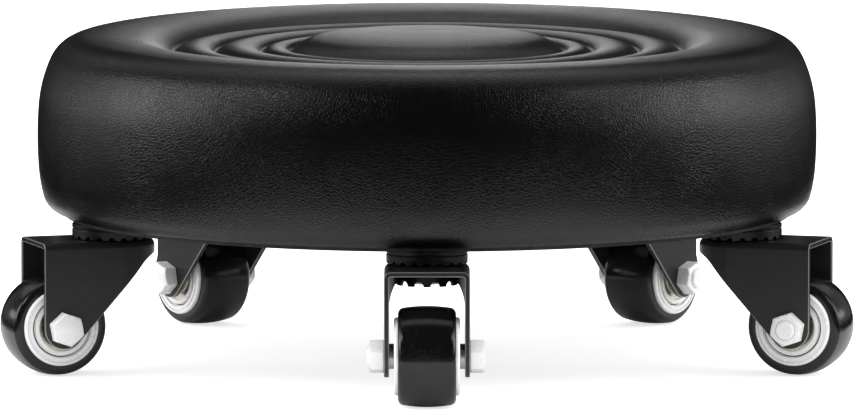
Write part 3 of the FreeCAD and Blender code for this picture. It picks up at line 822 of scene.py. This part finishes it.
def run_nodes(name, tree, **values):
    """Runs a Geometry Nodes tree on an empty mesh and returns the result as a plain object."""
    piece = bpy.data.objects.new(name, bpy.data.meshes.new(name))
    bpy.context.scene.collection.objects.link(piece)
    modifier = piece.modifiers.new("nodes", "NODES")
    modifier.node_group = tree
    items = [item for item in tree.interface.items_tree if item.in_out == "INPUT"]
    identifiers = {item.name: item.identifier for item in items}
    # A modifier knows its inputs by identifier, and they are set before it first runs.
    for label, value in values.items():
        modifier[identifiers[label]] = value
    bpy.context.view_layer.update()
    evaluated = piece.evaluated_get(bpy.context.evaluated_depsgraph_get())
    mesh = bpy.data.meshes.new_from_object(evaluated)
    piece.modifiers.remove(modifier)
    piece.data = mesh
    mesh.name = name
    return piece


def face_out(piece):
    """Points every face of a skin outwards and shades it smooth."""
    shape = bmesh.new()
    shape.from_mesh(piece.data)
    bmesh.ops.recalc_face_normals(shape, faces=shape.faces)
    # An open skin can come out turned inside out, so its topmost face decides.
    top = max(shape.faces, key=lambda face: face.calc_center_median().z)
    if top.normal.z < 0:
        bmesh.ops.reverse_faces(shape, faces=shape.faces)
    shape.to_mesh(piece.data)
    shape.free()
    shade_smooth(piece.data)


def turned_piece(name, points, along, around, material):
    """One turned skin, from a section's points."""
    holder = section_curve(name + "_section", points)
    piece = run_nodes(name, TURNED_SKIN, Section=holder, Along=along, Around=around,
                      Finish=material)
    curve = holder.data
    bpy.data.objects.remove(holder)
    bpy.data.curves.remove(curve)
    face_out(piece)
    return piece


# %% [markdown]
# ### Stuffing it
#
# A drawn section is too perfect. Real leatherette is pulled tight over foam, held down in the
# grooves and at the hem, and swells a little in between, never quite evenly. A short cloth
# simulation on a coarse copy finds that swelling; the movement it finds, held to less than two
# millimetres, is then carried over to the fine skin.

# %% Where the skin is held
GROOVE_HOLD = 2.4 * MM
HEM_HOLD = 5.0 * MM
UNDER_GROOVES = GROOVE - 2 * MM
RINGS_END = SEAT_RADIUS - 2 * CORNER_REACH


def groove_radii():
    """The radius of each groove, from the dome's edge outwards."""
    radii = [DOME_RADIUS]
    for width in RING_WIDTHS:
        radii.append(radii[-1] + width)
    return radii


def hold_share(radius, height):
    """How firmly a point of the skin is held: 1 in a groove or at the hem, 0 between."""
    held = 0.0
    if height > UNDER_GROOVES and radius < RINGS_END:
        nearest = min(abs(radius - groove) for groove in groove_radii())
        held = max(0.0, 1.0 - nearest / GROOVE_HOLD)
    hem = max(0.0, 1.0 - (height - HEM_HEIGHT) / HEM_HOLD)
    return min(1.0, max(held, hem))


print("grooves at", [round(radius / MM, 1) for radius in groove_radii()], "mm from the axis")

# %% The cloth pass
SKIN_ALONG = 161
SKIN_AROUND = 289
COARSE_AROUND = 97
SWELL_LIMIT = 1.6 * MM
SIMULATION_FRAMES = 20
NEIGHBOURS = 4
LEAST_DISTANCE = 1e-4


def stuff(coarse):
    """Puts an inflated cloth on a coarse skin, pinned by how firmly each point is held."""
    holding = coarse.vertex_groups.new(name="held")
    for vertex in coarse.data.vertices:
        share = hold_share(math.hypot(vertex.co.x, vertex.co.y), vertex.co.z)
        holding.add([vertex.index], share, "REPLACE")
    cloth = coarse.modifiers.new("cloth", "CLOTH")
    settings = cloth.settings
    settings.quality = 5
    settings.mass = 0.4
    settings.tension_stiffness = 25
    settings.compression_stiffness = 25
    settings.bending_stiffness = 4
    settings.use_pressure = True
    settings.uniform_pressure_force = 4
    settings.effector_weights.gravity = 0
    settings.vertex_group_mass = "held"
    cloth.collision_settings.use_collision = False
    cloth.point_cache.frame_start = 1
    cloth.point_cache.frame_end = SIMULATION_FRAMES


def swelling(points):
    """The cloth simulation: how far each point of a coarse skin moves along its normal."""
    coarse = turned_piece("stuffing", points, SKIN_ALONG, COARSE_AROUND, LEATHER)
    start = np.array([vertex.co for vertex in coarse.data.vertices])
    normals = np.array([vertex.normal for vertex in coarse.data.vertices])
    stuff(coarse)
    scene = bpy.context.scene
    for step in range(1, SIMULATION_FRAMES + 1):
        scene.frame_set(step)
    evaluated = coarse.evaluated_get(bpy.context.evaluated_depsgraph_get())
    moved = np.array([vertex.co for vertex in evaluated.data.vertices])
    scene.frame_set(1)
    bpy.data.objects.remove(coarse)
    out = ((moved - start) * normals).sum(1)
    return start, np.clip(out, -SWELL_LIMIT, SWELL_LIMIT)


def carried(start, amounts, target):
    """The coarse skin's movement at each point of the fine one, from its nearest neighbours."""
    tree = KDTree(len(start))
    for index, point in enumerate(start):
        tree.insert(point, index)
    tree.balance()
    result = np.zeros(len(target))
    for row, point in enumerate(target):
        near = tree.find_n(point, NEIGHBOURS)
        weights = np.array([1.0 / (distance + LEAST_DISTANCE) ** 2 for _, _, distance in near])
        result[row] = (weights * amounts[[index for _, index, _ in near]]).sum() / weights.sum()
    return result


# %% The cover: skin, stuffing, waviness and thickness
WAVES_AROUND = (2, 3, 5, 8)
WAVE_SEED = 7
WAVE_TWIST = 3
WAVE_HEIGHT = 0.10 * MM


def unevenness(points):
    """A slow, seeded waviness of foam and leather, in metres."""
    random = np.random.default_rng(WAVE_SEED)
    angle = np.arctan2(points[:, 1], points[:, 0])
    radius = np.hypot(points[:, 0], points[:, 1]) / SEAT_RADIUS
    total = np.zeros(len(points))
    for waves in WAVES_AROUND:
        phase, bend = random.uniform(0, 2 * math.pi, 2)
        total += np.sin(waves * angle + phase + bend * radius * WAVE_TWIST) / waves
    return total * WAVE_HEIGHT


def make_cushion():
    """The leather cover of the cushion, turned, stuffed and given its thickness."""
    points = cushion_section()
    cushion = turned_piece("cushion_cover", points, SKIN_ALONG, SKIN_AROUND, LEATHER)
    mesh = cushion.data
    place = np.array([vertex.co for vertex in mesh.vertices])
    normals = np.array([vertex.normal for vertex in mesh.vertices])
    free = 1.0 - np.array([hold_share(math.hypot(x, y), z) for x, y, z in place])
    amounts = unevenness(place) * free
    start, out = swelling(points)
    print("swelling, mm:", round(out.min() / MM, 2), "to", round(out.max() / MM, 2))
    amounts += carried(start, out, place) * free
    place += normals * amounts[:, None]
    mesh.vertices.foreach_set("co", place.astype(np.float32).ravel())
    mesh.update()
    thickness = cushion.modifiers.new("leather", "SOLIDIFY")
    thickness.thickness = LEATHER_THICKNESS
    thickness.offset = -1
    return cushion


cushion = make_cushion()
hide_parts("seat_cover")
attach(cushion, "seat")
print("cushion:", len(cushion.data.polygons), "faces")

# %% [markdown]
# ### The foam
#
# Inside the leather is one block of foam, glued to the board and let down round its edge. It
# never shows, but a reader may take the seat apart, so it gets the cushion's own section, drawn
# in by the leather's thickness, and a flat underside with a step that fits the board.

# %% Foam
FOAM_GAP = 0.3 * MM
GAP_OVER_BOARD = 5 * FOAM_GAP
FOAM_STEP = 6 * MM
FOAM_ALONG = 150
FOAM_AROUND = 121


def foam_section():
    """The foam's section: the cushion's, drawn in, then in over the board to the middle."""
    inside = cushion_section(LEATHER_THICKNESS + FOAM_GAP)
    side = board_high.x + FOAM_GAP
    floor = HEM_HEIGHT + LEATHER_THICKNESS + FOAM_GAP
    over = board_high.z + GAP_OVER_BOARD
    points = [point for point in inside if point[1] > floor]
    corners = [np.array(corner) for corner in ((side, floor), (side, over), (0.0, over))]
    for start, end in zip(corners, corners[1:]):
        span = end - start
        count = max(2, int(math.hypot(*span) / FOAM_STEP))
        points += [start + span * step / count for step in range(count)]
    return points + [corners[-1]]


foam = turned_piece("foam_block", foam_section(), FOAM_ALONG, FOAM_AROUND, FOAM)
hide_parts("seat_foam")
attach(foam, "seat")
print("foam:", len(foam.data.polygons), "faces")

# %% [markdown]
# ## Light
#
# Black things are drawn by what they reflect, so the lights are placed by asking what each face
# looks at. The nearly level tops look at the low wall behind the seat, so three small lights stand
# close behind it, one above another, with a wide faint one at their feet and a high one for the
# steeper slopes. Pairs at the back left and right draw the ends of the rim and the corners of the
# wall, where edge, fill and low lights each take one height of it. The flanks of the wall look out
# to the sides, where two strong soft lights hang, and a high and a low pair stand further forward
# for the forks and the wheels' faces. One large light hangs overhead. The middle of the wall looks
# back past the camera, which is kept dark.

# %% Lights
LIGHT_AIM_HEIGHT = 0.1
# Degrees round from the front, to the right; degrees up; metres off, wide and high; brightness.
LIGHTS = {
    "back_low": (180, 6, 1.3, 0.20, 0.15, 1.6),
    "back_middle": (180, 14, 1.3, 0.20, 0.15, 1.2),
    "back_wide": (180, 8, 3.0, 1.60, 0.36, 0.06),
    "back_high": (180, 24, 1.3, 0.22, 0.28, 1.1),
    "back_top": (180, 60, 3.0, 1.20, 0.80, 1.2),
    "left_back": (216, 30, 3.0, 1.00, 1.00, 0.45),
    "right_back": (144, 30, 3.0, 1.00, 1.00, 0.42),
    "left_edge": (233, 5, 3.0, 0.70, 0.36, 1.7),
    "right_edge": (127, 5, 3.0, 0.70, 0.36, 2.0),
    "left_fill": (222, 8, 3.0, 1.60, 1.20, 0.13),
    "right_fill": (138, 8, 3.0, 1.60, 1.20, 0.20),
    "left_low": (250, 2, 3.0, 1.40, 0.60, 0.70),
    "right_low": (110, 2, 3.0, 1.40, 0.60, 0.90),
    "overhead": (180, 72, 3.0, 4.40, 2.80, 0.62),
    "left_side": (268, 18, 3.0, 1.60, 1.20, 4.0),
    "right_side": (92, 18, 3.0, 1.60, 1.20, 3.8),
    "left_front_high": (300, 38, 3.0, 1.10, 0.60, 4.6),
    "right_front_high": (60, 38, 3.0, 1.10, 0.60, 3.6),
    "left_front_low": (293, 6, 3.0, 0.90, 0.36, 1.0),
    "right_front_low": (67, 6, 3.0, 0.90, 0.36, 1.0),
}


def add_light(name, azimuth, elevation, distance, width, height, radiance):
    """A rectangular soft light that points at the seat; its face is as bright as radiance says."""
    data = bpy.data.lights.new(name, "AREA")
    data.shape = "RECTANGLE"
    data.size = width
    data.size_y = height
    # A flat light's power is its radiance times pi times its area.
    data.energy = radiance * math.pi * width * height
    light = bpy.data.objects.new(name, data)
    turn = math.radians(azimuth)
    rise = math.radians(elevation)
    level = math.cos(rise)
    away = Vector((math.sin(turn) * level, -math.cos(turn) * level, math.sin(rise)))
    light.location = Vector((0, 0, LIGHT_AIM_HEIGHT)) + away * distance
    light.rotation_euler = away.to_track_quat("Z", "Y").to_euler()
    light.visible_camera = False
    bpy.context.scene.collection.objects.link(light)
    return light


for name, numbers in LIGHTS.items():
    add_light(name, *numbers)
print("lights:", len(bpy.data.lights))

# %% [markdown]
# ## World and floor
#
# The world is bright for matt surfaces and nearly black in reflections, as in a studio with dark
# walls, and a camera ray sees it white. The floor is a sheet of white paper, which the cushion's
# lower edge looks down at: it is narrow and ends a little in front of the seat, so that the wall
# doesn't turn grey. It is lit like everything else and keeps the seat's shadow, and only a camera
# ray sees it lifted the last step to white.

# %% World
AROUND_LIGHT = 1.0
AROUND_MIRRORED = 0.006
WHITE = (1, 1, 1, 1)

world = bpy.data.worlds.new("studio")
bpy.context.scene.world = world
world.use_nodes = True
sky = world.node_tree
rays = add(sky, "ShaderNodeLightPath")
surroundings = spread(sky, rays.outputs["Is Glossy Ray"], AROUND_LIGHT, AROUND_MIRRORED)
strength = math_node(sky, "MAXIMUM", rays.outputs["Is Camera Ray"], surroundings)
sky.links.new(strength, sky.nodes["Background"].inputs["Strength"])
sky.nodes["Background"].inputs["Color"].default_value = WHITE
print("world:", world.name)

# %% Paper floor
PAPER_COLOUR = (0.9, 0.9, 0.9, 1)
PAPER_WIDTH = 0.50
PAPER_FRONT = -0.36
PAPER_BACK = 4.5
PAPER_LIFT = 0.68


def make_floor():
    """A sheet of white paper that stops just in front of the seat."""
    material, tree, shader = new_material("white_paper")
    shader.inputs["Base Color"].default_value = PAPER_COLOUR
    shader.inputs["Roughness"].default_value = 0.9
    shader.inputs["Emission Color"].default_value = WHITE
    rays = add(tree, "ShaderNodeLightPath")
    lifted = math_node(tree, "MULTIPLY", rays.outputs["Is Camera Ray"], PAPER_LIFT)
    tree.links.new(lifted, shader.inputs["Emission Strength"])
    side = PAPER_WIDTH / 2
    corners = [(-side, PAPER_FRONT, 0), (side, PAPER_FRONT, 0),
               (side, PAPER_BACK, 0), (-side, PAPER_BACK, 0)]
    mesh = bpy.data.meshes.new("paper_floor")
    mesh.from_pydata(corners, [], [(0, 1, 2, 3)])
    floor = bpy.data.objects.new("paper_floor", mesh)
    floor.data.materials.append(material)
    bpy.context.scene.collection.objects.link(floor)
    return floor


make_floor()
bpy.context.scene.view_settings.view_transform = "Standard"
print("floor:", PAPER_WIDTH, "m wide")
